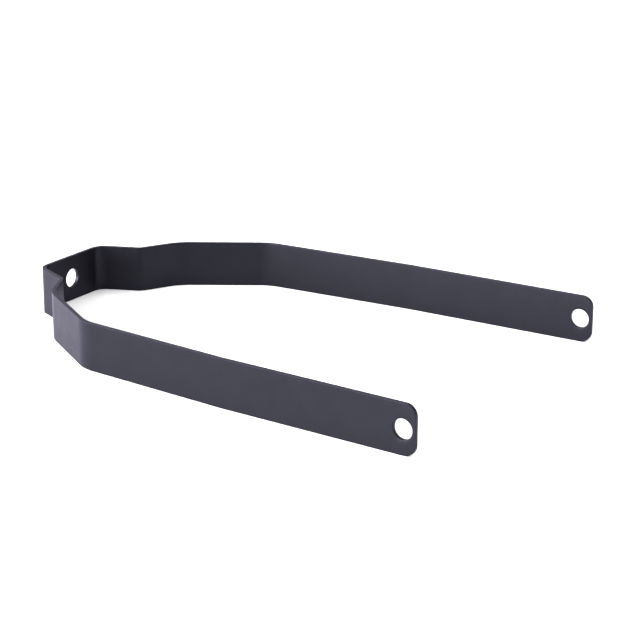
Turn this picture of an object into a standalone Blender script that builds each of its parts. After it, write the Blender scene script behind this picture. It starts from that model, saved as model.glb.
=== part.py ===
"""Rear fender stay: one strip of flat steel, bent into a wide fork.

The strip stands on its long edge, so every bend runs straight up, along Z.
Seen from above it starts at the saddle, the short cross run at the closed end.
On each side a cheek leads away from the saddle, a step jogs outward, a flare opens
the fork to its full width, and an arm and a tip run on, nearly parallel, to a
rounded free end. Bolts fasten it through one hole in the saddle and one in each tip.

Metres, +Z up. X runs from the saddle towards the free ends, and Y across the fork.
The origin is the middle of the model's footprint, at the height of its lower edge.
"""

from math import ceil, cos, pi, radians, sin, tan

import bmesh
import bpy
from mathutils import Vector

# The strip, as it comes before bending
STRIP_WIDTH = 0.0170
STRIP_THICKNESS = 0.0015
EDGE_BREAK = 0.00025

# Half of the fork, from the middle of the saddle to one free end.
# Lengths run from corner to corner of the centre line, before the bends round them.
# Angles are headings, measured from the X axis.
SADDLE_HALF_WIDTH = 0.0164
CHEEK_LENGTH = 0.0166
CHEEK_ANGLE = radians(24.0)
STEP_LENGTH = 0.0160
STEP_ANGLE = radians(62.2)
FLARE_LENGTH = 0.0351
FLARE_ANGLE = radians(32.5)
ARM_LENGTH = 0.0597
ARM_ANGLE = radians(4.3)
TIP_LENGTH = 0.0726
TIP_ANGLE = radians(1.6)

# Bend radii of the centre line, where one run meets the next
SADDLE_BEND_RADIUS = 0.0055
CHEEK_BEND_RADIUS = 0.0046
STEP_BEND_RADIUS = 0.0170
FLARE_BEND_RADIUS = 0.0160
ARM_BEND_RADIUS = 0.0450

# Holes and free ends
SADDLE_HOLE_DIAMETER = 0.0070
TIP_HOLE_DIAMETER = 0.0069
TIP_HOLE_SETBACK = 0.0046
TIP_CORNER_RADIUS = 0.0040

# Fineness of the round stretches
BEND_FACET_ANGLE = radians(5.0)
LEAST_BEND_FACETS = 3
HOLE_FACETS = 40
CORNER_FACETS = 8
EDGE_BREAK_FACETS = 2

# How far a drill reaches past the sheet on each side, and how near points are merged
DRILL_OVERRUN = 0.0020
MERGE_DISTANCE = 0.00001

CORNER_GROUP = "free_end_corners"
COATING_COLOUR = (0.070, 0.066, 0.083, 1.0)
COATING_ROUGHNESS = 0.42
COATING_METALLIC = 0.25

# Runs after the saddle, each with the radius of the bend that leads into it
RUNS = (
    (CHEEK_LENGTH, CHEEK_ANGLE, SADDLE_BEND_RADIUS),
    (STEP_LENGTH, STEP_ANGLE, CHEEK_BEND_RADIUS),
    (FLARE_LENGTH, FLARE_ANGLE, STEP_BEND_RADIUS),
    (ARM_LENGTH, ARM_ANGLE, FLARE_BEND_RADIUS),
    (TIP_LENGTH, TIP_ANGLE, ARM_BEND_RADIUS),
)


def clear_scene():
    """Remove every object that the file opens with."""
    for item in list(bpy.data.objects):
        bpy.data.objects.remove(item, do_unlink=True)


def new_collection(name):
    """Return a new collection linked to the scene."""
    collection = bpy.data.collections.new(name)
    bpy.context.scene.collection.children.link(collection)
    return collection


def heading(angle):
    """Return the unit vector at an angle from the X axis."""
    return Vector((cos(angle), sin(angle)))


def round_bend(corner, angle_in, angle_out, radius):
    """Return the points of the arc that rounds one corner of the centre line."""
    turn = angle_out - angle_in
    side = 1.0 if turn > 0.0 else -1.0
    tangent = radius * tan(abs(turn) / 2.0)
    start = corner - heading(angle_in) * tangent
    centre = start + heading(angle_in + side * pi / 2.0) * radius
    facets = max(LEAST_BEND_FACETS, ceil(abs(turn) / BEND_FACET_ANGLE))
    first = angle_in - side * pi / 2.0
    return [centre + heading(first + turn * step / facets) * radius for step in range(facets + 1)]


def half_centre_line():
    """Return the bent centre line from the middle of the saddle to a free end."""
    points = [Vector((0.0, 0.0))]
    corner = Vector((0.0, SADDLE_HALF_WIDTH))
    angle = pi / 2.0
    for length, next_angle, radius in RUNS:
        points += round_bend(corner, angle, next_angle, radius)
        corner = corner + heading(next_angle) * length
        angle = next_angle
    return points + [corner]


def footprint_centre(points):
    """Return how far the middle of the footprint lies from the saddle's centre line, along X."""
    free_end = points[-1] - heading(TIP_ANGLE + pi / 2.0) * (STRIP_THICKNESS / 2.0)
    return (free_end.x - STRIP_THICKNESS / 2.0) / 2.0


def sheet_mesh(points):
    """Raise half of the centre line into a sheet without thickness, open at the plane Y = 0."""
    mesh = bpy.data.meshes.new("fender_stay")
    shape = bmesh.new()
    lower = [shape.verts.new((point.x, point.y, 0.0)) for point in points]
    edges = [shape.edges.new(pair) for pair in zip(lower, lower[1:])]
    raised = bmesh.ops.extrude_edge_only(shape, edges=edges)["geom"]
    upper = [item for item in raised if isinstance(item, bmesh.types.BMVert)]
    bmesh.ops.translate(shape, verts=upper, vec=(0.0, 0.0, STRIP_WIDTH))
    bmesh.ops.recalc_face_normals(shape, faces=shape.faces)
    shape.to_mesh(mesh)
    shape.free()
    mesh.shade_smooth()
    return mesh


def mark_free_end_corners(stay, end_x):
    """Put the two corners of the free end in the group that the corner rounding reads."""
    group = stay.vertex_groups.new(name=CORNER_GROUP)
    corners = [vertex.index for vertex in stay.data.vertices if abs(vertex.co.x - end_x) < MERGE_DISTANCE]
    group.add(corners, 1.0, "REPLACE")


def add_sheet_modifiers(stay):
    """Mirror the half sheet, round the corners of its free ends and give it its thickness."""
    mirror = stay.modifiers.new("other_half", "MIRROR")
    mirror.use_axis = (False, True, False)
    mirror.merge_threshold = MERGE_DISTANCE

    rounding = stay.modifiers.new("free_end_rounding", "BEVEL")
    rounding.affect = "VERTICES"
    rounding.limit_method = "VGROUP"
    rounding.vertex_group = CORNER_GROUP
    rounding.width = TIP_CORNER_RADIUS
    rounding.segments = CORNER_FACETS

    thickness = stay.modifiers.new("thickness", "SOLIDIFY")
    thickness.thickness = STRIP_THICKNESS
    thickness.offset = 0.0
    thickness.use_even_offset = True


def add_drill(name, diameter, place, axis, collection):
    """Return a round cutter that passes through the sheet at a place, along an axis."""
    mesh = bpy.data.meshes.new(name)
    shape = bmesh.new()
    bmesh.ops.create_cone(
        shape,
        cap_ends=True,
        segments=HOLE_FACETS,
        radius1=diameter / 2.0,
        radius2=diameter / 2.0,
        depth=STRIP_THICKNESS + 2.0 * DRILL_OVERRUN,
    )
    shape.to_mesh(mesh)
    shape.free()
    drill = bpy.data.objects.new(name, mesh)
    drill.location = place
    drill.rotation_euler = axis.to_track_quat("Z", "Y").to_euler()
    drill.hide_render = True
    drill.display_type = "WIRE"
    collection.objects.link(drill)
    return drill


def add_drills(end_point, collection):
    """Return the cutters of the saddle's hole and of the hole in each tip."""
    middle = STRIP_WIDTH / 2.0
    drills = [
        add_drill(
            "saddle_drill",
            SADDLE_HOLE_DIAMETER,
            Vector((0.0, 0.0, middle)),
            Vector((1.0, 0.0, 0.0)),
            collection,
        )
    ]
    hole = end_point - heading(TIP_ANGLE) * TIP_HOLE_SETBACK
    across = heading(TIP_ANGLE + pi / 2.0)
    for label, side in (("left", 1.0), ("right", -1.0)):
        place = Vector((hole.x, side * hole.y, middle))
        axis = Vector((across.x, side * across.y, 0.0))
        drills.append(add_drill(label + "_tip_drill", TIP_HOLE_DIAMETER, place, axis, collection))
    return drills


def drill_and_break_edges(stay, drills):
    """Cut the holes, then take the sharpness off every edge of the sheet."""
    for drill in drills:
        cut = stay.modifiers.new(drill.name, "BOOLEAN")
        cut.operation = "DIFFERENCE"
        cut.object = drill

    edges = stay.modifiers.new("edge_break", "BEVEL")
    edges.width = EDGE_BREAK
    edges.segments = EDGE_BREAK_FACETS
    edges.limit_method = "ANGLE"
    edges.angle_limit = radians(40.0)

    stay.modifiers.new("even_shading", "WEIGHTED_NORMAL")


def coating_material():
    """Return the dark satin coating of the steel."""
    material = bpy.data.materials.new("charcoal_coating")
    material.use_nodes = True
    shader = material.node_tree.nodes["Principled BSDF"]
    shader.inputs["Base Color"].default_value = COATING_COLOUR
    shader.inputs["Roughness"].default_value = COATING_ROUGHNESS
    shader.inputs["Metallic"].default_value = COATING_METALLIC
    return material


def build_stay():
    """Build the whole stay and its cutters."""
    parts = new_collection("rear_fender_stay")
    cutters = new_collection("cutters")

    points = half_centre_line()
    shift = Vector((footprint_centre(points), 0.0))
    free_end = points[-1]

    stay = bpy.data.objects.new("fender_stay", sheet_mesh(points))
    parts.objects.link(stay)
    stay.data.materials.append(coating_material())
    mark_free_end_corners(stay, free_end.x)
    add_sheet_modifiers(stay)

    drills = add_drills(free_end, cutters)
    drill_and_break_edges(stay, drills)
    for item in [stay] + drills:
        item.location.x -= shift.x
    return stay


clear_scene()
build_stay()
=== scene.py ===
"""Looks of the rear fender stay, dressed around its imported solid.

The stay is one strip of flat steel, bent into a wide fork and powder coated in a dark
charcoal satin. It is made here as it is made in the shop: the blank is laid out flat,
with its bolt holes and its rounded free ends, then bent, given its thickness, eased
along its edges and coated.

Metres, +Z up. X runs from the saddle towards the free ends, and Y across the fork.
"""

import logging
from dataclasses import dataclass, field
from enum import Enum
from math import ceil, cos, hypot, pi, radians, sin, sqrt, tan
from typing import Any, Iterator

import bmesh
import bpy
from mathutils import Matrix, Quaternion, Vector


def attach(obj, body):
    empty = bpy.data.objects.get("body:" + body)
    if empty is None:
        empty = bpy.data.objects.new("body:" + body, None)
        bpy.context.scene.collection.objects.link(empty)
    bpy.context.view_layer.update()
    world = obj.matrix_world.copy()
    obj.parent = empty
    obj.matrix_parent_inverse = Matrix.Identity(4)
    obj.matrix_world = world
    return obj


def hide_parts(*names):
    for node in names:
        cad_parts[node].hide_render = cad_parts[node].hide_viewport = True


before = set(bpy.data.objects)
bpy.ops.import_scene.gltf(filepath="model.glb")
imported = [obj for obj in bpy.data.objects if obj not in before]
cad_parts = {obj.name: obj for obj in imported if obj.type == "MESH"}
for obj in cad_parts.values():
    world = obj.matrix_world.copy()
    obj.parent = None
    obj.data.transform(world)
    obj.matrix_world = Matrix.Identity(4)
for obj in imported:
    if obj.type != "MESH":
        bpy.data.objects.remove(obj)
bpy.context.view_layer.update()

LOG = logging.getLogger("fender_stay")

QUARTER_TURN = pi / 2.0

# Points of the blank that are no farther apart than this, in metres, are one point.
SAME_PLACE = 1e-7

# A ray whose slope is no more than this runs level or straight up.
NO_SLOPE = 1e-9

Colour = tuple[float, float, float, float]
BlankPoint = tuple[float, float]
BlankFace = tuple[BlankPoint, ...]


class FreeSide(Enum):
    """What bounds a patch of the blank on its side towards the free end."""

    MORE_STRIP = "more strip"
    ROUNDED_END = "rounded end"


class Grain(Enum):
    """The reliefs of the powder coat, each named for what it looks like."""

    ORANGE_PEEL = "orange peel"
    FINE_GRIT = "fine grit"


@dataclass(frozen=True)
class Stock:
    """The flat bar that the stay is cut from.

    Attributes:
        width: Width of the strip, which stands upright, in metres.
        thickness: Thickness of the steel with its coat, in metres.
        edge_radius: Radius of its eased, coated edges, in metres.
        edge_facets: Facets across one eased edge.
    """

    width: float = 0.0170
    thickness: float = 0.0015
    edge_radius: float = 0.00016
    edge_facets: int = 4


@dataclass(frozen=True)
class Run:
    """One straight run of the strip, with the bend that leads into it.

    Attributes:
        name: What the run is called.
        length: Length between its corners, before the bends round them, in metres.
        heading: Direction of the run, in radians from the X axis.
        bend_radius: Radius of the bend into it, on the centre line, in metres.
    """

    name: str
    length: float
    heading: float
    bend_radius: float


@dataclass(frozen=True)
class Stretch:
    """A part of the centre line that has one curvature: a straight or a bend.

    Attributes:
        start: Distance along the strip at which it starts, in metres.
        length: Its length along the strip, in metres.
        point: Where it starts, seen from above.
        heading: Direction in which it starts, in radians from the X axis.
        curvature: Turn in radians for each metre, to the left when positive.
    """

    start: float
    length: float
    point: Vector
    heading: float
    curvature: float

    def place(self, station: float) -> Vector:
        """Find a point of the stretch.

        Args:
            station: Distance along the strip, in metres.

        Returns:
            The point, seen from above.
        """
        along = station - self.start
        if self.curvature == 0.0:
            return self.point + along * direction(self.heading)
        radius = 1.0 / self.curvature
        centre = self.point + radius * direction(self.heading + QUARTER_TURN)
        return centre - radius * direction(self.heading + along / radius + QUARTER_TURN)


def direction(angle: float) -> Vector:
    """Return the unit vector at an angle from the X axis, seen from above."""
    return Vector((cos(angle), sin(angle)))


@dataclass
class ForkLine:
    """Centre line of the fork's left half, from the middle of the saddle to the free end.

    Attributes:
        saddle_half_width: From the fork's middle to the saddle's corner, in metres.
        runs: The runs after the saddle, in order.
        straight_step: Longest facet of a straight stretch, in metres.
        bend_step: Largest turn of one facet of a bend, in radians.
        stretches: The straights and bends that the runs come to.
    """

    saddle_half_width: float = 0.0164
    runs: tuple[Run, ...] = (
        Run("cheek", 0.0166, radians(24.0), 0.0055),
        Run("step", 0.0160, radians(62.2), 0.0046),
        Run("flare", 0.0351, radians(32.5), 0.0170),
        Run("arm", 0.0597, radians(4.3), 0.0160),
        Run("tip", 0.0726, radians(1.6), 0.0450),
    )
    straight_step: float = 0.0020
    bend_step: float = radians(1.5)
    stretches: list[Stretch] = field(init=False)

    def __post_init__(self) -> None:
        """Work the runs out into straights and bends."""
        self.stretches = list(self._lay_out())

    def _lay_out(self) -> Iterator[Stretch]:
        """Round each corner between two runs, and keep the straights between the bends.

        Yields:
            Each straight and each bend, in order along the strip.
        """
        station, point, heading = 0.0, Vector((0.0, 0.0)), QUARTER_TURN
        straight = self.saddle_half_width
        for run in self.runs:
            turn = run.heading - heading
            tangent = run.bend_radius * tan(abs(turn) / 2.0)
            yield Stretch(station, straight - tangent, point, heading, 0.0)
            point = point + (straight - tangent) * direction(heading)
            station += straight - tangent
            curvature = (1.0 if turn > 0.0 else -1.0) / run.bend_radius
            bend = Stretch(station, abs(turn) * run.bend_radius, point, heading, curvature)
            yield bend
            station += bend.length
            point, heading = bend.place(station), run.heading
            straight = run.length - tangent
        yield Stretch(station, straight, point, heading, 0.0)

    @property
    def length(self) -> float:
        """Length of the half strip along its centre line, in metres."""
        return self.stretches[-1].start + self.stretches[-1].length

    def place(self, station: float) -> Vector:
        """Find a point of the centre line.

        Args:
            station: Distance along the strip from the middle of the saddle, in metres.

        Returns:
            The point, seen from above, with the saddle's centre line at X = 0.
        """
        reached = [part for part in self.stretches if part.start <= station]
        return (reached or self.stretches)[-1].place(station)

    def stations(self, first: float, last: float) -> list[float]:
        """Split a length of the strip into facets, fine in the bends.

        Args:
            first: Where the length starts, in metres along the strip.
            last: Where it ends.

        Returns:
            The distances of the facets' ends, from first to last.
        """
        found = [first]
        for part in self.stretches:
            low, high = max(first, part.start), min(last, part.start + part.length)
            if high <= low:
                continue
            turn = abs(part.curvature) * (high - low)
            facets = max(1, ceil((high - low) / self.straight_step), ceil(turn / self.bend_step))
            found += [low + (high - low) * step / facets for step in range(1, facets + 1)]
        return found


@dataclass(frozen=True)
class BoltHole:
    """A round bolt hole, and the patch of the blank around it.

    The mesh around the hole runs out from its rim along evenly spread rays.

    Attributes:
        name: What the hole is called.
        station: Distance of its centre along the strip, in metres.
        diameter: Its diameter, in metres.
        half_width: Half of the strip's width, in metres.
        ahead: From its centre to the patch's side towards the free end, in metres.
        free_side: What bounds the patch on that side.
        corner_radius: Radius of the free end's corners, in metres.
        rings: Shares of the way from the rim to the patch's outline.
        quarter_rays: Rays in a quarter turn.
    """

    name: str
    station: float
    diameter: float
    half_width: float
    ahead: float
    free_side: FreeSide = FreeSide.MORE_STRIP
    corner_radius: float = 0.0
    rings: tuple[float, ...] = (0.0, 0.3, 0.62, 1.0)
    quarter_rays: int = 24

    def reach(self, angle: float) -> float:
        """Measure from the hole's centre to the outline of its patch.

        Args:
            angle: Angle of the ray, in radians from the strip's length.

        Returns:
            The distance, in metres.
        """
        along, up = cos(angle), sin(angle)
        side = self.ahead if along > 0.0 else self.half_width
        limits = [side / abs(along)] if abs(along) > NO_SLOPE else []
        limits += [self.half_width / abs(up)] if abs(up) > NO_SLOPE else []
        distance = min(limits)
        if self.free_side is not FreeSide.ROUNDED_END:
            return distance
        centre = (self.ahead - self.corner_radius, self.half_width - self.corner_radius)
        if distance * along <= centre[0] or distance * abs(up) <= centre[1]:
            return distance
        forward = centre[0] * along + centre[1] * abs(up)
        spare = self.corner_radius**2 - (hypot(*centre) ** 2 - forward**2)
        return forward + sqrt(spare)

    def faces(self, first: float, last: float) -> Iterator[BlankFace]:
        """Lay the patch's faces, ring by ring and ray by ray.

        Args:
            first: Angle of the first ray, in radians.
            last: Angle of the last ray.

        Yields:
            The four corners of each face, as distances along and up the strip.
        """
        rays = round((last - first) / QUARTER_TURN * self.quarter_rays)
        angles = [first + (last - first) * step / rays for step in range(rays + 1)]
        for low, high in zip(angles, angles[1:]):
            for inner, outer in zip(self.rings, self.rings[1:]):
                yield (
                    self.point(low, inner),
                    self.point(low, outer),
                    self.point(high, outer),
                    self.point(high, inner),
                )

    def point(self, angle: float, share: float) -> BlankPoint:
        """Find a point of the patch.

        Args:
            angle: Angle of its ray, in radians.
            share: Share of the way from the rim to the outline.

        Returns:
            Its distances along and up the strip, in metres.
        """
        rim = self.diameter / 2.0
        distance = rim + (self.reach(angle) - rim) * share
        return (
            self.station + distance * cos(angle),
            self.half_width + distance * sin(angle),
        )


@dataclass(frozen=True)
class PowderCoat:
    """Dark charcoal satin powder coat.

    Attributes:
        name: Name of the material.
        deep: Colour of the coat where it is thick.
        thin: Colour where it is thin, paler by a little.
        cloud_size: Size of the slow changes between them, in metres.
        cloud_layers: How many finer layers those changes have.
        cloud_spread: Part of their pattern that goes from thick to thin.
        gloss_range: Least and most roughness.
        gloss_patch_size: Size of the patches that differ in roughness, in metres.
        gloss_layers: How many finer layers the patches have.
        gloss_spread: Part of their pattern that goes from the least to the most.
        metallic: Metallic share. All of the coat's light is tinted reflection.
        specular_tint: Tint of its reflections at a low angle.
        relief: Size in metres, depth in metres and strength of each grain.
        relief_layers: How many finer layers each grain has.
    """

    name: str = "charcoal_powder_coat"
    deep: Colour = (0.0162, 0.0162, 0.0216, 1.0)
    thin: Colour = (0.0170, 0.0170, 0.0226, 1.0)
    cloud_size: float = 0.012
    cloud_layers: float = 3.0
    cloud_spread: tuple[float, float] = (0.35, 0.65)
    gloss_range: tuple[float, float] = (0.40, 0.44)
    gloss_patch_size: float = 0.004
    gloss_layers: float = 2.0
    gloss_spread: tuple[float, float] = (0.3, 0.7)
    metallic: float = 1.0
    specular_tint: Colour = (0.845, 0.82, 0.935, 1.0)
    relief: tuple[tuple[Grain, float, float, float], ...] = (
        (Grain.ORANGE_PEEL, 0.0011, 0.000020, 0.35),
        (Grain.FINE_GRIT, 0.00028, 0.000006, 0.30),
    )
    relief_layers: float = 1.0

    def material(self) -> bpy.types.Material:
        """Mix the finish.

        Returns:
            The material, with its colour, roughness and relief from nodes.
        """
        made = bpy.data.materials.new(self.name)
        made.use_nodes = True
        board = NodeBoard(made.node_tree)
        shader = board.tree.nodes["Principled BSDF"]
        place = board.add("ShaderNodeTexCoord").outputs["Object"]

        cloud = board.noise(place, self.cloud_size, self.cloud_layers)
        tone = board.add("ShaderNodeMix", data_type="RGBA")
        board.join(board.stretch(cloud, self.cloud_spread, (0.0, 1.0)), tone.inputs["Factor"])
        tone.inputs["A"].default_value = self.deep
        tone.inputs["B"].default_value = self.thin
        board.join(tone.outputs["Result"], shader.inputs["Base Color"])

        gloss = board.noise(place, self.gloss_patch_size, self.gloss_layers)
        roughness = board.stretch(gloss, self.gloss_spread, self.gloss_range)
        board.join(roughness, shader.inputs["Roughness"])

        normal = None
        for grain, size, depth, strength in self.relief:
            bump = board.add("ShaderNodeBump", label=grain.value)
            bump.inputs["Strength"].default_value = strength
            bump.inputs["Distance"].default_value = depth
            board.join(board.noise(place, size, self.relief_layers), bump.inputs["Height"])
            if normal is not None:
                board.join(normal, bump.inputs["Normal"])
            normal = bump.outputs["Normal"]
        board.join(normal, shader.inputs["Normal"])

        shader.inputs["Metallic"].default_value = self.metallic
        shader.inputs["Specular Tint"].default_value = self.specular_tint
        return made


@dataclass(frozen=True)
class MattWhite:
    """Plain matt white of the studio floor.

    Attributes:
        name: Name of the material.
        colour: Its colour.
        roughness: Its roughness.
    """

    name: str = "studio_white"
    colour: Colour = (0.90, 0.90, 0.90, 1.0)
    roughness: float = 0.95

    def material(self) -> bpy.types.Material:
        """Mix the finish.

        Returns:
            The material.
        """
        made = bpy.data.materials.new(self.name)
        made.use_nodes = True
        shader = made.node_tree.nodes["Principled BSDF"]
        shader.inputs["Base Color"].default_value = self.colour
        shader.inputs["Roughness"].default_value = self.roughness
        shader.inputs["Specular IOR Level"].default_value = 0.0
        return made


@dataclass
class NodeBoard:
    """A material's node tree, with short ways to add nodes and to join them.

    Attributes:
        tree: The node tree.
    """

    tree: bpy.types.NodeTree

    def add(self, kind: str, **settings: Any) -> bpy.types.Node:
        """Add a node.

        Args:
            kind: Type of the node.
            **settings: Values of the node's own properties.

        Returns:
            The new node.
        """
        node = self.tree.nodes.new(kind)
        for name, value in settings.items():
            setattr(node, name, value)
        return node

    def join(self, source: bpy.types.NodeSocket, target: bpy.types.NodeSocket) -> None:
        """Join an output socket to an input socket."""
        self.tree.links.new(source, target)

    def noise(
        self, place: bpy.types.NodeSocket, size: float, detail: float
    ) -> bpy.types.NodeSocket:
        """Add a cloudy pattern.

        Args:
            place: Socket of the coordinates, in metres.
            size: Size of its clouds, in metres.
            detail: How many finer layers it has.

        Returns:
            Socket of the pattern's value, from 0 to 1.
        """
        node = self.add("ShaderNodeTexNoise")
        node.inputs["Scale"].default_value = 1.0 / size
        node.inputs["Detail"].default_value = detail
        self.join(place, node.inputs["Vector"])
        return node.outputs["Fac"]

    def stretch(
        self,
        value: bpy.types.NodeSocket,
        given: tuple[float, float],
        wanted: tuple[float, float],
    ) -> bpy.types.NodeSocket:
        """Stretch one range of values to another, and hold it at the ends.

        Args:
            value: Socket of the value.
            given: The range that the value has.
            wanted: The range that it gets.

        Returns:
            Socket of the new value.
        """
        node = self.add("ShaderNodeMapRange", clamp=True)
        for socket, limit in zip(("From Min", "From Max", "To Min", "To Max"), given + wanted):
            node.inputs[socket].default_value = limit
        self.join(value, node.inputs["Value"])
        return node.outputs["Result"]


@dataclass
class FenderStay:
    """The whole stay: one strip with its bolt holes, bends and rounded free ends.

    Attributes:
        stock: The flat bar.
        line: Centre line of the left half. The right half mirrors it.
        saddle_hole: Diameter of the saddle's bolt hole, in metres.
        tip_hole: Diameter of the bolt hole in each tip, in metres.
        tip_hole_setback: From a tip's free end to the centre of its hole, in metres.
        tip_corner_radius: Radius of the free ends' corners, in metres.
        seam_reach: How near the two halves' points are joined, in metres.
        sharp_edge: Least angle, in radians, of an edge that is eased.
        finish: The coat.
    """

    stock: Stock = field(default_factory=Stock)
    line: ForkLine = field(default_factory=ForkLine)
    saddle_hole: float = 0.0070
    tip_hole: float = 0.0069
    tip_hole_setback: float = 0.0046
    tip_corner_radius: float = 0.0040
    seam_reach: float = 0.00001
    sharp_edge: float = radians(50.0)
    finish: PowderCoat = field(default_factory=PowderCoat)

    def build(self) -> bpy.types.Object:
        """Lay out, bend, thicken and ease the strip.

        Returns:
            The strip, standing on its long edge in the row's frame.
        """
        mesh = bpy.data.meshes.new("bent_strip")
        self._bend_blank(mesh)
        strip = bpy.data.objects.new("bent_strip", mesh)
        bpy.context.scene.collection.objects.link(strip)
        self._finish_form(strip)
        return strip

    def dress(self, strip: bpy.types.Object) -> None:
        """Coat the strip and let it stand for the solid.

        Args:
            strip: The strip that build made.
        """
        strip.data.materials.append(self.finish.material())
        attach(strip, "root")
        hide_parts("fender_stay")

    def _blank_faces(self) -> Iterator[BlankFace]:
        """Lay out half of the blank, with a patch of rays around each hole.

        Yields:
            The corners of each face, as distances along and up the strip.
        """
        half = self.stock.width / 2.0
        saddle = BoltHole("saddle", 0.0, self.saddle_hole, half, half)
        tip = BoltHole(
            "tip",
            self.line.length - self.tip_hole_setback,
            self.tip_hole,
            half,
            self.tip_hole_setback,
            FreeSide.ROUNDED_END,
            self.tip_corner_radius,
        )
        yield from saddle.faces(-QUARTER_TURN, QUARTER_TURN)
        yield from tip.faces(-pi, pi)

        rows = saddle.quarter_rays
        slopes = [pi / 4.0 * (2.0 * row / rows - 1.0) for row in range(rows + 1)]
        heights = [half + half * tan(slope) for slope in slopes]
        stations = self.line.stations(half, tip.station - half)
        for near, far in zip(stations, stations[1:]):
            for low, high in zip(heights, heights[1:]):
                yield (near, low), (far, low), (far, high), (near, high)

    def _footprint_shift(self) -> float:
        """Return how far the footprint's middle lies from the saddle's centre line, in metres."""
        half = self.stock.thickness / 2.0
        outer = direction(self.line.runs[-1].heading - QUARTER_TURN) * half
        free_end = self.line.place(self.line.length).x + outer.x
        return (free_end - half) / 2.0

    def _bend_blank(self, mesh: bpy.types.Mesh) -> None:
        """Bend half of the blank into a sheet that has no thickness yet.

        Args:
            mesh: The mesh that takes the sheet.
        """
        shift = self._footprint_shift()
        shape = bmesh.new()
        welded: dict[tuple[int, int], bmesh.types.BMVert] = {}
        for face in self._blank_faces():
            corners = []
            for station, height in face:
                key = (round(station / SAME_PLACE), round(height / SAME_PLACE))
                if key not in welded:
                    plan = self.line.place(station)
                    welded[key] = shape.verts.new((plan.x - shift, plan.y, height))
                corners.append(welded[key])
            shape.faces.new(corners)
        shape.to_mesh(mesh)
        shape.free()
        mesh.shade_smooth()

    def _finish_form(self, strip: bpy.types.Object) -> None:
        """Mirror the sheet, give it its thickness and ease its edges.

        Args:
            strip: The object that carries the half sheet.
        """
        mirror = strip.modifiers.new("right_half", "MIRROR")
        mirror.use_axis = (False, True, False)
        mirror.merge_threshold = self.seam_reach

        steel = strip.modifiers.new("steel", "SOLIDIFY")
        steel.thickness = self.stock.thickness
        steel.offset = 0.0
        steel.use_even_offset = True

        easing = strip.modifiers.new("eased_edges", "BEVEL")
        easing.width = self.stock.edge_radius
        easing.segments = self.stock.edge_facets
        easing.limit_method = "ANGLE"
        easing.angle_limit = self.sharp_edge

        strip.modifiers.new("even_shading", "WEIGHTED_NORMAL")


@dataclass
class StudioFloor:
    """The plain pale floor that the stay stands on.

    Attributes:
        half_size: From its middle to its side, in metres.
        finish: Its finish.
    """

    half_size: float = 20.0
    finish: MattWhite = field(default_factory=MattWhite)

    def build(self) -> bpy.types.Object:
        """Lay the floor at the height of the stay's lower edge.

        Returns:
            The floor.
        """
        mesh = bpy.data.meshes.new("studio_floor")
        shape = bmesh.new()
        bmesh.ops.create_grid(shape, x_segments=1, y_segments=1, size=self.half_size)
        shape.to_mesh(mesh)
        shape.free()
        mesh.materials.append(self.finish.material())
        floor = bpy.data.objects.new("studio_floor", mesh)
        bpy.context.scene.collection.objects.link(floor)
        return floor


@dataclass(frozen=True)
class GlowPatch:
    """A round patch of the room that glows softly, as a large lamp behind a screen does.

    Attributes:
        name: What the patch is called.
        azimuth: Where its middle lies seen from above, in radians from the X axis.
        elevation: How high its middle lies, in radians.
        radius: Its radius, as an angle, in radians.
        edge: Over what angle its rim fades, in radians.
        brightness: How much brighter it is than the room.
        width: How many times wider than tall it is.
    """

    name: str
    azimuth: float
    elevation: float
    radius: float
    edge: float
    brightness: float
    width: float = 1.0

    @property
    def middle(self) -> Vector:
        """Return the direction of its middle, where the room is stretched to make it round."""
        level = direction(self.azimuth) * cos(self.elevation)
        return Vector((level.x, level.y, sin(self.elevation) * self.width)).normalized()

    def light(
        self, board: NodeBoard, gaze: bpy.types.NodeSocket
    ) -> bpy.types.NodeSocket:
        """Add the patch to the room's nodes.

        Args:
            board: The room's nodes.
            gaze: Socket of the direction that is looked in.

        Returns:
            Socket of the patch's light in that direction.
        """
        stretched = board.add("ShaderNodeVectorMath", operation="MULTIPLY")
        board.join(gaze, stretched.inputs[0])
        stretched.inputs[1].default_value = (1.0, 1.0, self.width)
        level = board.add("ShaderNodeVectorMath", operation="NORMALIZE")
        board.join(stretched.outputs["Vector"], level.inputs[0])
        near = board.add("ShaderNodeVectorMath", operation="DOT_PRODUCT", label=self.name)
        board.join(level.outputs["Vector"], near.inputs[0])
        near.inputs[1].default_value = self.middle
        rim = (cos(self.radius + self.edge / 2.0), cos(self.radius - self.edge / 2.0))
        return board.stretch(near.outputs["Value"], rim, (0.0, self.brightness))


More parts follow.
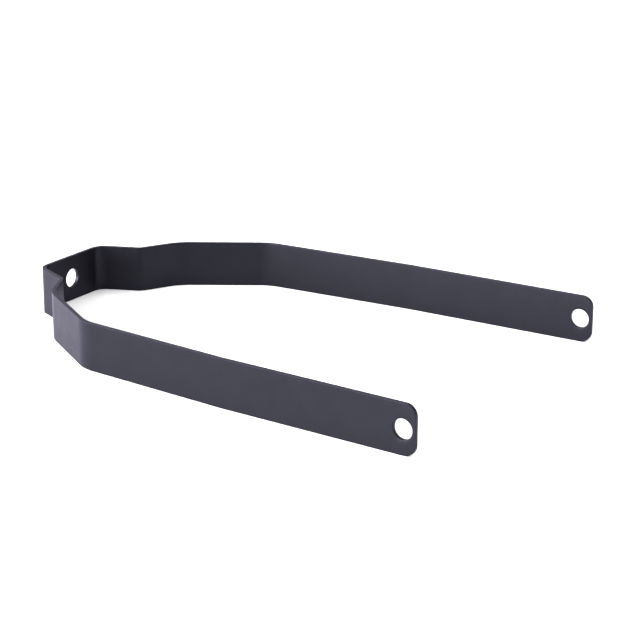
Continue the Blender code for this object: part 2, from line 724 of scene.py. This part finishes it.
@dataclass
class Studio:
    """The pale room round the stay, with its soft lamps.

    Attributes:
        colour: Colour of all its light.
        glow: Brightness of the room away from the lamps.
        patches: The soft lamps.
    """

    colour: Colour = (1.0, 1.0, 1.0, 1.0)
    glow: float = 1.08
    patches: tuple[GlowPatch, ...] = (
        GlowPatch("overhead", 0.0, radians(90.0), radians(30.0), radians(10.0), 1.45),
        GlowPatch("left", radians(185.0), radians(7.0), radians(40.0), radians(16.0), 1.6, 2.2),
        GlowPatch(
            "front_left", radians(235.0), radians(7.0), radians(40.0), radians(16.0), 21.3, 2.2
        ),
    )

    def build(self) -> bpy.types.World:
        """Light the room.

        Returns:
            The room, as the scene's world.
        """
        scene = bpy.context.scene
        scene.world = bpy.data.worlds.new("studio_room")
        scene.world.use_nodes = True
        board = NodeBoard(scene.world.node_tree)
        gaze = board.add("ShaderNodeTexCoord").outputs["Generated"]
        total = None
        for patch in self.patches:
            brighter = board.add("ShaderNodeMath", operation="ADD")
            brighter.inputs[0].default_value = self.glow
            if total is not None:
                board.join(total, brighter.inputs[0])
            board.join(patch.light(board, gaze), brighter.inputs[1])
            total = brighter.outputs["Value"]
        room = board.tree.nodes["Background"]
        room.inputs["Color"].default_value = self.colour
        board.join(total, room.inputs["Strength"])
        scene.view_settings.view_transform = "Standard"
        return scene.world


@dataclass
class PhotoCamera:
    """The camera, where the photograph was taken from.

    Attributes:
        place: Where it stands.
        heading: Direction that it looks in, in radians from the X axis.
        dip: How far it looks down, in radians.
        roll: How far it is turned about its own line of sight, in radians.
        lens: Focal length, in millimetres.
        sensor: Width of its sensor, in millimetres.
        sight: The nearest and the farthest that it sees, in metres.
    """

    place: tuple[float, float, float] = (0.3454, -0.5193, 0.2196)
    heading: float = radians(122.18)
    dip: float = radians(18.66)
    roll: float = radians(0.47)
    lens: float = 105.70
    sensor: float = 36.0
    sight: tuple[float, float] = (0.01, 50.0)

    def build(self) -> bpy.types.Object:
        """Set the camera up as the scene's own.

        Returns:
            The camera.
        """
        data = bpy.data.cameras.new("photo_camera")
        data.lens = self.lens
        data.sensor_width = self.sensor
        data.clip_start, data.clip_end = self.sight
        camera = bpy.data.objects.new("photo_camera", data)
        level = direction(self.heading) * cos(self.dip)
        gaze = Vector((level.x, level.y, -sin(self.dip)))
        camera.rotation_mode = "QUATERNION"
        turned = Quaternion((0.0, 0.0, 1.0), self.roll)
        camera.rotation_quaternion = gaze.to_track_quat("-Z", "Y") @ turned
        camera.location = self.place
        bpy.context.scene.collection.objects.link(camera)
        bpy.context.scene.camera = camera
        return camera


def report(made: bpy.types.ID) -> None:
    """Log what was built."""
    LOG.info("built %s", made.name)


def main() -> None:
    """Build the stay, then the floor, the light and the camera."""
    logging.basicConfig(level=logging.INFO, format="%(name)s: %(message)s")
    stay = FenderStay()
    strip = stay.build()
    stay.dress(strip)
    report(strip)
    for part in (StudioFloor(), Studio(), PhotoCamera()):
        report(part.build())


if __name__ == "__main__":
    main()
